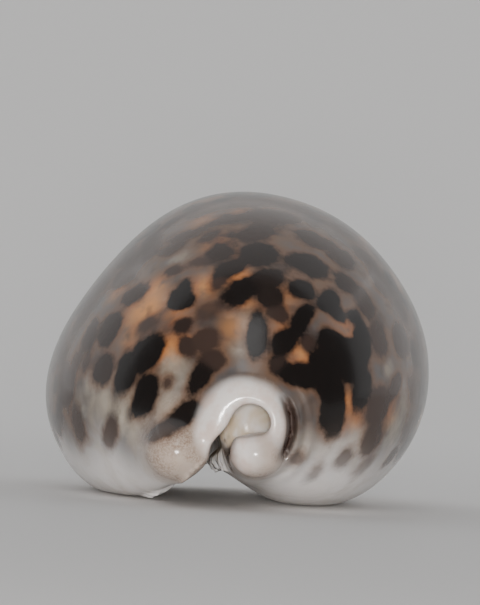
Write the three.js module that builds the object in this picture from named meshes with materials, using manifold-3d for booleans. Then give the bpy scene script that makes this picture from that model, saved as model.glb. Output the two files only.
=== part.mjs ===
// A tiger cowrie shell lying on its base: one hollow shell with a toothed slot along its underside
// and a short canal at each end. Units are millimetres and +Z is up. The front canal points to -Y and
// the outer lip is on the -X side. The origin is on the resting plane, under the middle of the shell.
import * as THREE from 'three';
import { LoftGeometry } from 'three/addons/geometries/LoftGeometry.js';
import { mergeVertices } from 'three/addons/utils/BufferGeometryUtils.js';
import Module from 'manifold-3d';

// Overall size of the shell
const LENGTH = 95;
const WIDTH = 66;
const HEIGHT = 53;
const HALF_LENGTH = LENGTH / 2;
const WORN_FLAT = 0.7; // how much of each lobe's underside is worn down to the resting plane

// The outside of the widest section, seen from the front: control points [x, z] that run from the
// furrow under the shell over the outer lip, the dome and the inner lip, for a shell 66 by 53.
const OUTER_SECTION = [
  [-5, 8], [-11, 1.5], [-18, -0.7], [-25.3, 1.6], [-30.6, 8.2], [-33, 16.5], [-31.2, 25.4],
  [-26.9, 33.2], [-21.5, 40.8], [-14.4, 48], [-5, 52.3], [5, 52.5], [14, 50], [22, 44.5],
  [28.5, 36.5], [32.2, 27.5], [32.7, 18], [29.4, 9.3], [22.8, 2.3], [14, -0.7], [4.5, 1],
];

// The hollow in the same section
const HOLLOW_SECTION = [
  [-5, 10.4], [-15, 6.6], [-24.5, 9], [-28.8, 16.5], [-27.4, 24.8], [-22.8, 32.6], [-17.4, 39.8],
  [-11, 46], [-3, 50.3], [6, 50.7], [14, 48], [21.8, 42], [27.6, 33.5], [30.2, 24],
  [29, 14], [22, 7], [8, 8],
];

// Both bodies are widest at this Y and close towards each end like an egg
const WIDEST_Y = 4;
const OUTER_BODY = {
  section: OUTER_SECTION, front: 48.5, back: 41.5, halfWidth: WIDTH / 2, low: -WORN_FLAT, high: HEIGHT,
  tip: { x: 2, z: 15 }, around: 44, along: 26,
};
const HOLLOW_BODY = {
  section: HOLLOW_SECTION, front: 44, back: 37, halfWidth: 30, low: 6.4, high: 50.6,
  tip: { x: 2.2, z: 16.5 }, around: 24, along: 15,
};
const SIDE_POWER = [2, 2.3]; // how full the outline is in plan, in front and behind
const TOP_POWER = [2, 2.35];
const BASE_POWER = [2.4, 2.6]; // the base runs flatter than the dome, then turns up to the canals
const END_CUT = 0.995; // the bodies stop just short of their tips, inside the canal rings

// The slot along the base: [y, x of its middle, half width]
const SLOT = [
  [-52, -1.6, 2], [-44, -2, 2.2], [-37, -3.6, 3.3], [-25, -6, 4], [-8, -7.5, 3.9], [8, -7, 3.7],
  [22, -4.2, 3.4], [33, -0.3, 3.1], [41, 3, 2.5], [52, 4.3, 2],
];
const SLOT_TOP = [[-44, 11], [-36, 14.5], [36, 14.5], [44, 12.5]]; // y and the height of its roof
const SLOT_STEPS = 26;

// One side of the slot's section: how far outside the half width, and how far above the slot's edge.
// The lips are rounded below their edge, and the walls are upright above it.
const SLOT_WALL = [[6, -7], [3, -3.2], [1.1, -0.5], [0.3, 0.9], [0, 2.4]];
const LIP_RISE = 4.4; // height of the slot's edge in the widest section
const LIP_FROM = -36; // in front of this and behind the next the edge stays level, below the canals
const LIP_TO = 37;

// The rings round the two canals, and the hole through each
const RING_SETBACK = 1.2; // how far the rings stop short of the lips' tips
const FRONT_CANAL = {
  x: 1.4, z: 13.6, radius: 7.2, tip: RING_SETBACK - HALF_LENGTH, root: -34, hole: 3.9, holeInside: 6.5,
};
const BACK_CANAL = {
  x: 4, z: 14.6, radius: 7, tip: HALF_LENGTH - RING_SETBACK, root: 34, hole: 3.1, holeInside: 5.5,
};
const RING_ROUNDING = 2.2;
const RING_SIDES = 22;
const RING_STEPS = 3;
const HOLE_SIDES = 14;
const HOLE_PAST = 3; // how far the holes' cutters run past the rings at both ends

// The thick ends of the two lips. Each runs from a root inside the lip to its rounded tip, and swells
// from the root radius to the tip's radii across and up.
const LIP_ENDS = {
  outerFront: { root: [-13, -20, 7], tip: [-9, -HALF_LENGTH, 8.7], rootRadius: 3, across: 4.7, up: 4.1 },
  innerFront: { root: [2.6, -24, 7], tip: [3.8, -HALF_LENGTH, 9.1], rootRadius: 3, across: 4.1, up: 3.5 },
  outerBack: { root: [-7.5, 22, 7], tip: [-2.6, HALF_LENGTH, 9.8], rootRadius: 3, across: 4.2, up: 3.8 },
  innerBack: { root: [6.2, 24, 7], tip: [10.4, HALF_LENGTH - 0.6, 10.4], rootRadius: 3, across: 4, up: 3.8 },
};
const LIP_END_ROUNDING = 0.2; // the share of each end's length that its rounded tip takes
const LIP_END_BEND = 1.8; // how late each end turns up from the base
const LIP_END_STEPS = 9;
const LIP_END_SIDES = 12;
const LIP_END_LAST = 0.994; // the last section closes the tip just short of a point

// The columella, a thick fold that runs along the inside of the inner lip and shows through the canal
const COLUMELLA = { from: -35.5, to: 34, across: 4.8, up: 5.6, z: 13.2, rounding: 5 };
const COLUMELLA_STEPS = 12;
const COLUMELLA_SIDES = 12;

// Creases beside the front canal: distance from the canal's axis, depth in Y and thickness
const CREASES = [
  { radius: 8, y: -44.6, thickness: 1.2 },
  { radius: 11.1, y: -42.6, thickness: 0.7 },
];
const CREASE_FROM = THREE.MathUtils.degToRad(55);
const CREASE_TO = THREE.MathUtils.degToRad(-48);
const CREASE_STEPS = 9;
const CREASE_SIDES = 6;
const CREASE_DEPTH = 1.6; // how much deeper a crease is than it is thick

// The sunken spire, a small pit beside the back canal
const SPIRE_PIT = { centre: [13.5, 43.5, 20.5], radius: 4.2 };

// The teeth along both sides of the slot
const TEETH_PER_SIDE = 24;
const TEETH_FROM = -35;
const TEETH_TO = 37;
const TOOTH = { long: 4, thick: 1.4, wide: 1, inset: 1, rise: 0.6, lean: THREE.MathUtils.degToRad(56) };

const wasm = await Module();
wasm.setup();

// A closed cubic B-spline through the plane, at t from 0 to 1
function closedSpline(points, t) {
  const n = points.length;
  const whole = Math.floor(t * n);
  const f = t * n - whole;
  const weights = [(1 - f) ** 3, 3 * f ** 3 - 6 * f * f + 4, -3 * f ** 3 + 3 * f * f + 3 * f + 1, f ** 3];
  const at = [0, 0];
  weights.forEach((weight, k) => {
    const p = points[(whole + k - 1 + n) % n];
    at[0] += (weight * p[0]) / 6;
    at[1] += (weight * p[1]) / 6;
  });
  return at;
}

// The outline of a body's widest section, stretched to its width and height
function widestSection({ section, around, halfWidth, low, high }) {
  const outline = [];
  for (let i = 0; i < around; i++) outline.push(closedSpline(section, i / around));
  const [xs, zs] = [outline.map((p) => p[0]), outline.map((p) => p[1])];
  const [x0, x1, z0, z1] = [Math.min(...xs), Math.max(...xs), Math.min(...zs), Math.max(...zs)];
  const { mapLinear } = THREE.MathUtils;
  return outline.map(([x, z]) => [
    mapLinear(x, x0, x1, -halfWidth, halfWidth),
    mapLinear(z, z0, z1, low, high),
  ]);
}

// How much of its full size a body has at y: in width, in height over its tips and in depth under them
function sharesAt(body, y) {
  const side = y < WIDEST_Y ? 0 : 1;
  const away = Math.abs(y - WIDEST_Y) / (side === 0 ? body.front : body.back);
  return [SIDE_POWER, TOP_POWER, BASE_POWER].map((power) => Math.sqrt(1 - away ** power[side]));
}

// A point of a body's widest section, moved to y
function bodyPoint(body, x, z, y) {
  const [wide, tall, flat] = sharesAt(body, y);
  const { tip } = body;
  return new THREE.Vector3(tip.x + (x - tip.x) * wide, y, tip.z + (z - tip.z) * (z > tip.z ? tall : flat));
}

// A three.js geometry as a manifold-3d solid
function solid(geometry) {
  geometry.deleteAttribute('normal');
  geometry.deleteAttribute('uv');
  const merged = mergeVertices(geometry, 1e-4);
  const index = merged.index.array;
  const triVerts = [];
  for (let i = 0; i < index.length; i += 3) {
    const [a, b, c] = [index[i], index[i + 1], index[i + 2]];
    if (a !== b && b !== c && c !== a) triVerts.push(a, b, c);
  }
  return new wasm.Manifold(new wasm.Mesh({
    numProp: 3,
    vertProperties: new Float32Array(merged.attributes.position.array),
    triVerts: new Uint32Array(triVerts),
  }));
}

// An egg-shaped body lofted from its section, flattened where it would pass below `floor`
function eggBody(body, floor) {
  const outline = widestSection(body);
  const sections = [];
  for (let i = 0; i <= body.along; i++) {
    const share = END_CUT * Math.cos((Math.PI * i) / body.along);
    const y = WIDEST_Y - share * (share > 0 ? body.front : body.back);
    const section = outline.map(([x, z]) => bodyPoint(body, x, z, y));
    for (const point of section) point.z = Math.max(floor, point.z);
    sections.push(section);
  }
  return solid(new LoftGeometry(sections, { capStart: true, capEnd: true }));
}

// The slot's middle and half width at y
const slotCurve = new THREE.CatmullRomCurve3(SLOT.map(([y, x, half]) => new THREE.Vector3(x, y, half)));
function slotAt(y) {
  let [low, high] = [0, 1];
  for (let i = 0; i < 30; i++) {
    const mid = (low + high) / 2;
    if (slotCurve.getPoint(mid).y < y) low = mid;
    else high = mid;
  }
  const p = slotCurve.getPoint(low);
  return { middle: p.x, half: p.z };
}

// The height of the slot's edge, where the furrow meets its wall
function lipHeight(y) {
  return bodyPoint(OUTER_BODY, 0, LIP_RISE, THREE.MathUtils.clamp(y, LIP_FROM, LIP_TO)).z;
}

// The height of the slot's roof at y, lower towards the canals
function slotRoof(y) {
  const next = SLOT_TOP.findIndex(([at]) => at > y);
  if (next === 0) return SLOT_TOP[0][1];
  if (next < 0) return SLOT_TOP[SLOT_TOP.length - 1][1];
  const [[y0, z0], [y1, z1]] = [SLOT_TOP[next - 1], SLOT_TOP[next]];
  return z0 + ((z1 - z0) * (y - y0)) / (y1 - y0);
}

// The slot, with rounded lips, from one end of the shell to the other
function slotCutter() {
  const [from, to] = [SLOT[0][0], SLOT[SLOT.length - 1][0]];
  const sections = [];
  for (let i = 0; i <= SLOT_STEPS; i++) {
    const y = from + ((to - from) * i) / SLOT_STEPS;
    const { middle, half } = slotAt(y);
    const lip = lipHeight(y);
    const roof = slotRoof(y);
    const wall = SLOT_WALL.map(([out, up]) => [half + out, Math.min(lip + up, roof - 0.2)]);
    wall.push([half, roof]);
    const section = [...wall, ...wall.map(([x, z]) => [-x, z]).reverse()].reverse();
    sections.push(section.map(([x, z]) => new THREE.Vector3(middle + x, y, z)));
  }
  return solid(new LoftGeometry(sections, { capStart: true, capEnd: true }));
}

// A canal's ring, rounded at its outer end, and the hole through it
function canalRing(canal) {
  const length = Math.abs(canal.tip - canal.root);
  const profile = [new THREE.Vector2(0, 0), new THREE.Vector2(canal.radius, 0)];
  for (let i = 0; i <= RING_STEPS; i++) {
    const a = (Math.PI / 2) * (i / RING_STEPS);
    profile.push(new THREE.Vector2(
      canal.radius - RING_ROUNDING * (1 - Math.cos(a)), length - RING_ROUNDING * (1 - Math.sin(a))));
  }
  profile.push(new THREE.Vector2(0, length));
  const ring = new THREE.LatheGeometry(profile, RING_SIDES);
  if (canal.tip < 0) ring.rotateX(Math.PI);
  ring.translate(canal.x, canal.root, canal.z);
  return solid(ring);
}

function canalHole(canal) {
  const length = Math.abs(canal.tip - canal.root) + 2 * HOLE_PAST;
  const middle = (canal.tip + canal.root) / 2;
  const hole = new THREE.CylinderGeometry(canal.hole, canal.holeInside, length, HOLE_SIDES);
  if (canal.tip < 0) hole.rotateX(Math.PI);
  hole.translate(canal.x, middle, canal.z);
  return solid(hole);
}

// The thick end of a lip, lofted from its root to its tip
function lipEnd({ root, tip, rootRadius, across, up }) {
  const sections = [];
  for (let i = 0; i <= LIP_END_STEPS; i++) {
    const along = Math.sin((LIP_END_LAST * (Math.PI / 2) * i) / LIP_END_STEPS);
    const past = Math.max(0, (along - 1 + LIP_END_ROUNDING) / LIP_END_ROUNDING);
    const round = Math.sqrt(1 - past * past);
    const wide = THREE.MathUtils.lerp(rootRadius, across, along) * round;
    const tall = THREE.MathUtils.lerp(rootRadius, up, along) * round;
    const x = THREE.MathUtils.lerp(root[0], tip[0], along);
    const y = THREE.MathUtils.lerp(root[1], tip[1], i < LIP_END_STEPS ? along : 1);
    const z = THREE.MathUtils.lerp(root[2], tip[2], along ** LIP_END_BEND);
    const section = [];
    for (let k = 0; k < LIP_END_SIDES; k++) {
      const a = (2 * Math.PI * k) / LIP_END_SIDES;
      section.push(new THREE.Vector3(x + wide * Math.cos(a), y, z + tall * Math.sin(a)));
    }
    sections.push(tip[1] < 0 ? section : section.reverse());
  }
  return solid(new LoftGeometry(sections, { capStart: true, capEnd: true }));
}

// A groove cutter that tapers at both ends and runs down the inner-lip side of the front canal
function creaseCutter({ radius, y, thickness }) {
  const sections = [];
  for (let i = 0; i <= CREASE_STEPS; i++) {
    const turn = CREASE_FROM + ((CREASE_TO - CREASE_FROM) * i) / CREASE_STEPS;
    const fat = thickness * Math.sqrt(Math.sin((Math.PI * (i + 0.5)) / (CREASE_STEPS + 1)));
    const section = [];
    for (let k = 0; k < CREASE_SIDES; k++) {
      const a = (-2 * Math.PI * k) / CREASE_SIDES;
      const r = radius + fat * Math.cos(a);
      section.push(new THREE.Vector3(
        FRONT_CANAL.x + r * Math.cos(turn),
        y + CREASE_DEPTH * fat * Math.sin(a),
        FRONT_CANAL.z + r * Math.sin(turn),
      ));
    }
    sections.push(section);
  }
  return solid(new LoftGeometry(sections, { capStart: true, capEnd: true }));
}

function columella() {
  const { from, to, across, up, z, rounding } = COLUMELLA;
  const sections = [];
  for (let i = 0; i <= COLUMELLA_STEPS; i++) {
    const y = from + ((to - from) * (1 - Math.cos((Math.PI * i) / COLUMELLA_STEPS))) / 2;
    const inside = Math.min(1, (Math.min(y - from, to - y) + 0.1) / rounding);
    const round = Math.sqrt(1 - (1 - inside) ** 2);
    const { middle, half } = slotAt(y);
    const section = [];
    for (let k = 0; k < COLUMELLA_SIDES; k++) {
      const a = (-2 * Math.PI * k) / COLUMELLA_SIDES;
      section.push(new THREE.Vector3(
        middle + half + across * (1 + round * Math.cos(a)), y, z + up * round * Math.sin(a)));
    }
    sections.push(section);
  }
  return solid(new LoftGeometry(sections, { capStart: true, capEnd: true }));
}

function spirePit() {
  const ball = new THREE.SphereGeometry(SPIRE_PIT.radius, 10, 8);
  ball.translate(...SPIRE_PIT.centre);
  return solid(ball);
}

// One tooth: a low ridge that runs from the base over the lip's edge into the slot
function tooth(y, side) {
  const { middle, half } = slotAt(y);
  const ridge = new THREE.SphereGeometry(1, 6, 4);
  ridge.scale(TOOTH.long, TOOTH.wide, TOOTH.thick);
  ridge.rotateY(side * TOOTH.lean);
  ridge.translate(middle + side * (half + TOOTH.inset), y, lipHeight(y) + TOOTH.rise);
  return solid(ridge);
}

function teeth() {
  const all = [];
  for (let i = 0; i < TEETH_PER_SIDE; i++) {
    const y = TEETH_FROM + ((TEETH_TO - TEETH_FROM) * i) / (TEETH_PER_SIDE - 1);
    all.push(tooth(y, -1), tooth(y, 1));
  }
  return all;
}

// The whole shell as one solid
function shellSolid() {
  let shell = eggBody(OUTER_BODY, 0);
  shell = shell.add(canalRing(FRONT_CANAL)).add(canalRing(BACK_CANAL));
  for (const crease of CREASES) shell = shell.subtract(creaseCutter(crease));
  shell = shell.subtract(eggBody(HOLLOW_BODY, -Infinity)).subtract(slotCutter());
  shell = shell.subtract(canalHole(FRONT_CANAL)).subtract(canalHole(BACK_CANAL));
  shell = shell.subtract(spirePit()).add(columella());
  for (const end of Object.values(LIP_ENDS)) shell = shell.add(lipEnd(end));
  for (const ridge of teeth()) shell = shell.add(ridge);
  return shell;
}

// A manifold-3d solid as a three.js geometry
function geometryOf(made) {
  const mesh = made.getMesh();
  const geometry = new THREE.BufferGeometry();
  geometry.setAttribute('position', new THREE.BufferAttribute(new Float32Array(mesh.vertProperties), 3));
  geometry.setIndex(new THREE.BufferAttribute(new Uint32Array(mesh.triVerts), 1));
  geometry.computeVertexNormals();
  return geometry;
}

const cowrie = new THREE.Group();
const enamel = new THREE.MeshStandardMaterial({ color: 0x8a7466, roughness: 0.18, metalness: 0 });
const shell = new THREE.Mesh(geometryOf(shellSolid()), enamel);
shell.name = 'shell';
cowrie.add(shell);

export default cowrie;
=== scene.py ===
"""A tiger cowrie shell on its base: polished, spotted, with a toothed slot and a canal at each end.

The shell is one closed mesh of a field that is negative inside it. Its dimensions are in millimetres
until the mesh is made, and the frame's metres after that. The front canal points to -Y.
"""

import math

import bpy
import numpy as np
from mathutils import Matrix, Vector
from mathutils.bvhtree import BVHTree


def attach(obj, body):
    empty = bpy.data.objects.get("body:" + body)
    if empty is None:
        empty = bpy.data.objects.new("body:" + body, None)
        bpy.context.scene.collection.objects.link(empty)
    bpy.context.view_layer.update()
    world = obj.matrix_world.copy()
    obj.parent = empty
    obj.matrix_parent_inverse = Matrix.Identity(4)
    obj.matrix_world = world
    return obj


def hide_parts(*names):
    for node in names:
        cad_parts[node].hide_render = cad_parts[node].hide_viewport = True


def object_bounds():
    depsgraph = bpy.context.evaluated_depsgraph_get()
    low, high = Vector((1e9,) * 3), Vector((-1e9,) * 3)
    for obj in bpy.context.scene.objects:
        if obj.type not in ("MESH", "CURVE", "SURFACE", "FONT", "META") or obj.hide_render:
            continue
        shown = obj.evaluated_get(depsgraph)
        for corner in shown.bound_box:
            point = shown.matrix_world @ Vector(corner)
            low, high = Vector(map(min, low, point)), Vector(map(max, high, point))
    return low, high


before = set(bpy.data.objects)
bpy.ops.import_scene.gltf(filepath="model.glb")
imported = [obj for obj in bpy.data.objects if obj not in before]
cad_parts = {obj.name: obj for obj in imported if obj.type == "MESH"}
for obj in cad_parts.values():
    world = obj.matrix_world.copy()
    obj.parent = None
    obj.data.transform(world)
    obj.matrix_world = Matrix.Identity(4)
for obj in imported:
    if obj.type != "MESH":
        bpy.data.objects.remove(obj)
cad_low, cad_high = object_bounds()

MM = 0.001

# Size of the shell, from the frame
WIDTH, LENGTH, HEIGHT = (cad_high - cad_low) / MM
HALF_LENGTH = LENGTH / 2
WORN_FLAT = 0.7  # how far the rounded base would reach below the floor

# The widest section, seen from the front, from the furrow over the outer lip, the dome and the inner lip
OUTER_SECTION = [
    (-5, 8), (-11, 1.5), (-18, -0.7), (-25.3, 1.6), (-30.6, 8.2), (-33, 16.5), (-31.2, 25.4),
    (-26.9, 33.2), (-21.5, 40.8), (-14.4, 48), (-5, 52.3), (5, 52.5), (14, 50), (22, 44.5),
    (28.5, 36.5), (32.2, 27.5), (32.7, 18), (29.4, 9.3), (22.8, 2.3), (14, -0.7), (4.5, 1),
]
HOLLOW_SECTION = [
    (-5, 10.4), (-15, 6.6), (-24.5, 9), (-28.8, 16.5), (-27.4, 24.8), (-22.8, 32.6), (-17.4, 39.8),
    (-11, 46), (-3, 50.3), (6, 50.7), (14, 48), (21.8, 42), (27.6, 33.5), (30.2, 24),
    (29, 14), (22, 7), (8, 8),
]

# Both bodies are widest at this Y and close towards each end like an egg
WIDEST_Y = 4
OUTER_BODY = dict(section=OUTER_SECTION, front=48.5, back=41.5, half=WIDTH / 2, low=-WORN_FLAT, high=HEIGHT,
                  tip=(2, 15))
HOLLOW_BODY = dict(section=HOLLOW_SECTION, front=44, back=37, half=30, low=6.4, high=50.6,
                   tip=(2.2, 16.5))
# The powers of their curves to the front and to the back end
SIDE_POWER = (2, 2.3)
TOP_POWER = (2, 2.35)
BASE_POWER = (2.4, 2.6)
END_CUT = 0.9998  # share of the way to an end where the curves stop, as they are too steep past it
EASE = 5  # over this distance from the widest place the front and back curves are eased together
EASE_FADE = 2.2  # and the easing fades out at about this many times the distance

TABLE_STEP = 0.1  # of curves that are kept as tables over y
TABLE_END = 60

# The slot along the base: y, x of its middle, half width
SLOT = [
    (-52, -1.6, 2), (-44, -2, 2.2), (-37, -3.6, 3.3), (-25, -6, 4), (-8, -7.5, 3.9), (8, -7, 3.7),
    (22, -4.2, 3.4), (33, -0.3, 3.1), (41, 3, 2.5), (52, 4.3, 2),
]
SLOT_TOP = [(-44, 10.3), (-36, 14.5), (36, 14.5), (44, 12.5)]  # y and the height of its roof
ROOF_LEAN = 1.06  # how fast the roof rises towards the inner lip inside the front canal
ROOF_LEAN_FROM_TO = (-36, -41)  # the Y between which it comes to lean
SLOT_FLARE = 0.8  # how fast the slot widens below its edge
FLARE_FROM, FLARE_EASE = 0.6, 1.6  # the height over its edge where that starts, and how gently
SLOT_ROUNDING = 1.5  # how softly its sides turn into its roof
LIP_RISE = 4.4  # height of the slot's edge in the widest section
LIP_FROM, LIP_TO = -36, 37  # the Y between which its edge follows the base

# The rings round the two canals, and the hole through each
RING_SETBACK = 1.2
FRONT_CANAL = dict(x=1.4, z=13.6, radius=7.2, hole=(2.5, 14.1), hole_radius=2.8, inside=6,
                   tip=RING_SETBACK - HALF_LENGTH, root=-34)
BACK_CANAL = dict(x=4, z=14.6, radius=7, hole=(4, 14.6), hole_radius=3.1, inside=5.5,
                  tip=HALF_LENGTH - RING_SETBACK, root=34)
RING_ROUNDING = 3.1
HOLE_OVERLAP = 2  # how far a hole runs on past its ring's root
HOLE_BLEND = 2  # how softly it turns into the hollow
COLLAR = 4.6  # how softly the rings grow out of the body
FOLDED_COLLAR = 1.6  # and where the folds run beside the front one
RIM_ROUNDING = 2.6  # how softly they turn into their holes
LIP_ROUNDING = 2.6  # how softly the lips turn into the slot
BASE_ROUNDING = 0.8  # how softly the sides turn into the worn flat

# The thick ends of the two lips, with how softly each grows out of the shell on its left and right
LIP_ENDS = [
    dict(root=(-13, -20, 7), tip=(-9, -HALF_LENGTH, 8.7), across=4.7, up=4.1, blend=(11, 5)),
    dict(root=(2.6, -24, 7), tip=(3.8, -HALF_LENGTH, 9.1), across=4.1, up=3.5, blend=(3.5, 3)),
    dict(root=(-10, 23, 8), tip=(-2.6, HALF_LENGTH, 9.8), across=4.2, up=3.8, blend=(5, 2.5)),
    dict(root=(6.2, 24, 7), tip=(10.4, HALF_LENGTH - 0.6, 10.4), across=4, up=3.8, blend=(2.5, 5)),
]
LIP_END_ROOT = 3  # their radius at the root
LIP_END_BEND = 1.8  # above 1, so that they rise mostly near their tips
LIP_END_POINT = 1.15  # length of their rounded tip over its half width

# The columella, a thick fold that runs along the inside of the inner lip and shows through the canal.
# Its front end leans to the outer lip.
COLUMELLA = dict(y0=-35.5, y1=34, across=4.8, up=5.6, z=13.2, rounding=5, blend=3, lean=2.4,
                 lean_over=(-35, -25))

# The crease and the folds beside the front canal: distance from its axis, depth (a ridge if below zero)
# and half width, and the angles between which they run round it
CREASE = (7.8, 1.4, 0.58)
CREASE_TURNS = (-50, -25, 20, 50)
FOLDS = [
    (8.9, -0.5, 0.6), (10.1, 0.4, 0.6), (11.1, -0.15, 0.6), (12.2, 0.2, 0.9),
]
FOLD_TURNS = (-64, -36, 15, 55)
FOLD_DEEP = (-38, -30)  # the Y between which they fade

# The sunken spire, a small pit beside the back canal
SPIRE_PIT = dict(centre=(13.5, 43.5, 20.5), radius=3.5, blend=2.4)

# The teeth along both sides of the slot
TEETH_PER_SIDE = 24
TEETH_FROM, TEETH_TO = -35, 37
TEETH_RISE, TEETH_FALL = (-34, -29), (34, 38)  # the Y over which they rise and fall off
TOOTH_HEIGHT = 0.85
TOOTH_WIDTH = 0.72
TOOTH_REACH = (4.4, 1.7)  # how far they run out on the base from the outer and the inner lip
TOOTH_FULL = 0.45  # share of that reach over which they keep their height
TOOTH_SLANT = (0.10, -0.12)  # on the outer and the inner lip
TOOTH_SHIFT = 0.37  # of the inner lip's teeth along it, as a share of a tooth
TOOTH_CLIMB = 3.6  # how far they run up into the slot
TOOTH_BOTTOM = (-9, -7)  # and the heights from the slot's edge between which they end below it
REACH_VARIES, HEIGHT_VARIES = 0.28, 0.2
TOOTH_VARIES, SIDE_VARIES = 12.9898, 78.233  # turns from one to the next of a sine that makes them differ
FRONT_TEETH = 0.1  # share of their height that the front ones have
FRONT_TEETH_TO = (-33, -24)  # the Y over which they come to their whole height

# Slow waves of the grown surface: how fast each turns along x, y and z, and where it starts
WAVES = [
    (0.17, 0.05, 0.11, 0.4), (-0.09, 0.13, 0.16, 1.9), (0.12, -0.16, 0.07, 4.2), (0.24, 0.10, -0.19, 2.6),
]
WAVE_HEIGHT = 0.045
WAVE_FADE = (0, 8)  # the heights between which they come in above the base

GRID = 0.68  # spacing of the mesh
MARGIN = 2.5  # cells round the shell
BLOCK = 4  # the field is worked out in blocks of this many cells each way
BLOCK_REACH = 4.5  # and only where it is nearer to 0 than this
TINY = 1e-9  # keeps a division from failing in the middle of a form


def smooth_min(a, b, k):
    """The lower of two fields, rounded where they are within k of each other."""
    h = np.maximum(k - np.abs(a - b), 0) / k
    return np.minimum(a, b) - h * h * h * k / 6


def smooth_max(a, b, k):
    return -smooth_min(-a, -b, k)


def step(low, high, value):
    """0 up to low, 1 from high on, eased between them. Low may be the higher one, to go the other way."""
    t = np.clip((value - low) / (high - low), 0, 1)
    return t * t * (3 - 2 * t)


def closed_spline(points, count):
    """A closed cubic B-spline through the plane, as count points."""
    p = np.array(points, float)
    n = len(p)
    t = np.arange(count) * n / count
    whole = np.floor(t).astype(int)
    f = (t - whole)[:, None]
    weights = [(1 - f) ** 3, 3 * f ** 3 - 6 * f ** 2 + 4, -3 * f ** 3 + 3 * f ** 2 + 3 * f + 1, f ** 3]
    return sum(w * p[(whole + k - 1) % n] for k, w in enumerate(weights)) / 6


def body_shares(body, y):
    """How much of its full size a body has at y: in width, in height over its tips, in depth under them."""
    is_front = y < WIDEST_Y
    away = np.clip(np.abs(y - WIDEST_Y) / np.where(is_front, body["front"], body["back"]), 0, END_CUT)
    return [np.sqrt(1 - away ** np.where(is_front, *power)) for power in (SIDE_POWER, TOP_POWER, BASE_POWER)]


def eased_differences(body):
    """What eases a body's front and back curves together near its widest place, as tables over y."""
    y = np.arange(-TABLE_END, TABLE_END, TABLE_STEP)
    reach = int(EASE / TABLE_STEP)
    kernel = np.hanning(2 * reach + 1)
    kernel /= kernel.sum()
    near = np.exp(-((y - WIDEST_Y) / (EASE_FADE * EASE)) ** 4)
    middle = np.argmin(np.abs(y - WIDEST_Y))
    differences = []
    for share in body_shares(body, y):
        soft = np.convolve(np.pad(share, reach, mode="edge"), kernel, mode="valid") - share
        differences.append((soft - soft[middle]) * near)
    return y, differences


class Body:
    """An egg-shaped body's field, close to a true distance near its surface.

    Its widest section is a table of the radius over the angle about the line between its tips.
    """
    POINTS = 4000
    LEAST_SLOPE = 0.25  # keeps the field finite near the middle, where it is flat

    def __init__(self, body):
        self.body = body
        self.ease_y, self.ease = eased_differences(body)
        outline = closed_spline(body["section"], self.POINTS)
        low, high = outline.min(0), outline.max(0)
        size = (2 * body["half"], body["high"] - body["low"])
        outline = (outline - low) / (high - low) * size + (-body["half"], body["low"]) - np.array(body["tip"])
        angle = np.arctan2(outline[:, 1], outline[:, 0])
        order = np.argsort(angle)
        turns = (-2 * math.pi, 0, 2 * math.pi)
        self.angle = np.concatenate([angle[order] + turn for turn in turns])
        self.radius = np.tile(np.hypot(*outline[order].T), len(turns))

    def shares(self, y):
        return [share + np.interp(y, self.ease_y, ease)
                for share, ease in zip(body_shares(self.body, y), self.ease)]

    def bottom(self, y, level):
        """Height at y of what is at level in the widest section."""
        tip = self.body["tip"][1]
        return tip + (level - tip) * self.shares(y)[2]

    def raw(self, x, y, z, shares):
        """0 on the surface, with level sets that stay egg-shaped away from it."""
        wide, tall, flat = shares
        dx, dz = (x - self.body["tip"][0]) / wide, z - self.body["tip"][1]
        dz = dz / np.where(dz > 0, tall, flat)
        reach = np.hypot(dx, dz) / np.interp(np.arctan2(dz, dx), self.angle, self.radius)
        away = (y - WIDEST_Y) / np.where(y < WIDEST_Y, self.body["front"], self.body["back"])
        past = np.maximum(away * away - END_CUT * END_CUT, 0)
        return np.sqrt(np.maximum((reach * wide) ** 2 + 1 - wide * wide + past, 0)) - 1

    def at(self, x, y, z, h=0.2):
        shares = self.shares(y)
        value = self.raw(x, y, z, shares)
        ahead = (self.raw(x + h, y, z, shares), self.raw(x, y + h, z, self.shares(y + h)),
                 self.raw(x, y, z + h, shares))
        slope = np.sqrt(sum(((v - value) / h) ** 2 for v in ahead))
        return value / np.maximum(slope, self.LEAST_SLOPE / self.body["half"])


def line_through(knots, column):
    """A smooth line through column of knots over y, as a table."""
    k = np.array(knots, float)
    y, v = k[:, 0], k[:, column]
    slope = np.gradient(v, y)
    at = np.arange(y[0], y[-1], TABLE_STEP)
    i = np.clip(np.searchsorted(y, at, side="right") - 1, 0, len(y) - 2)
    gap = y[i + 1] - y[i]
    t = (at - y[i]) / gap
    value = ((2 * t ** 3 - 3 * t ** 2 + 1) * v[i] + (t ** 3 - 2 * t ** 2 + t) * gap * slope[i]
             + (3 * t ** 2 - 2 * t ** 3) * v[i + 1] + (t ** 3 - t ** 2) * gap * slope[i + 1])
    return at, value


outer_body, hollow_body = Body(OUTER_BODY), Body(HOLLOW_BODY)
slot_middle, slot_half = line_through(SLOT, 1), line_through(SLOT, 2)


def lip_height(y):
    """The height of the slot's edge."""
    return outer_body.bottom(np.clip(y, LIP_FROM, LIP_TO), LIP_RISE)


def slot_distance(x, y, z):
    """Negative in the slot, which flares below its edge and has a roof."""
    above = z - lip_height(y)
    under = FLARE_FROM - above
    flare = SLOT_FLARE / 2 * (under + np.hypot(under, FLARE_EASE))
    wall = np.abs(x - np.interp(y, *slot_middle)) - np.interp(y, *slot_half) - flare
    steepness = np.where(above < 0, 1.0, 0.1)  # about the square of the sides' slope
    from_left = x - np.interp(y, *slot_middle) + np.interp(y, *slot_half)
    lean = ROOF_LEAN * step(*ROOF_LEAN_FROM_TO, y) * np.maximum(from_left, -1)
    roof = np.interp(y, *zip(*SLOT_TOP)) + lean
    return smooth_max(wall / np.sqrt(1 + steepness), z - roof, SLOT_ROUNDING)


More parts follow.
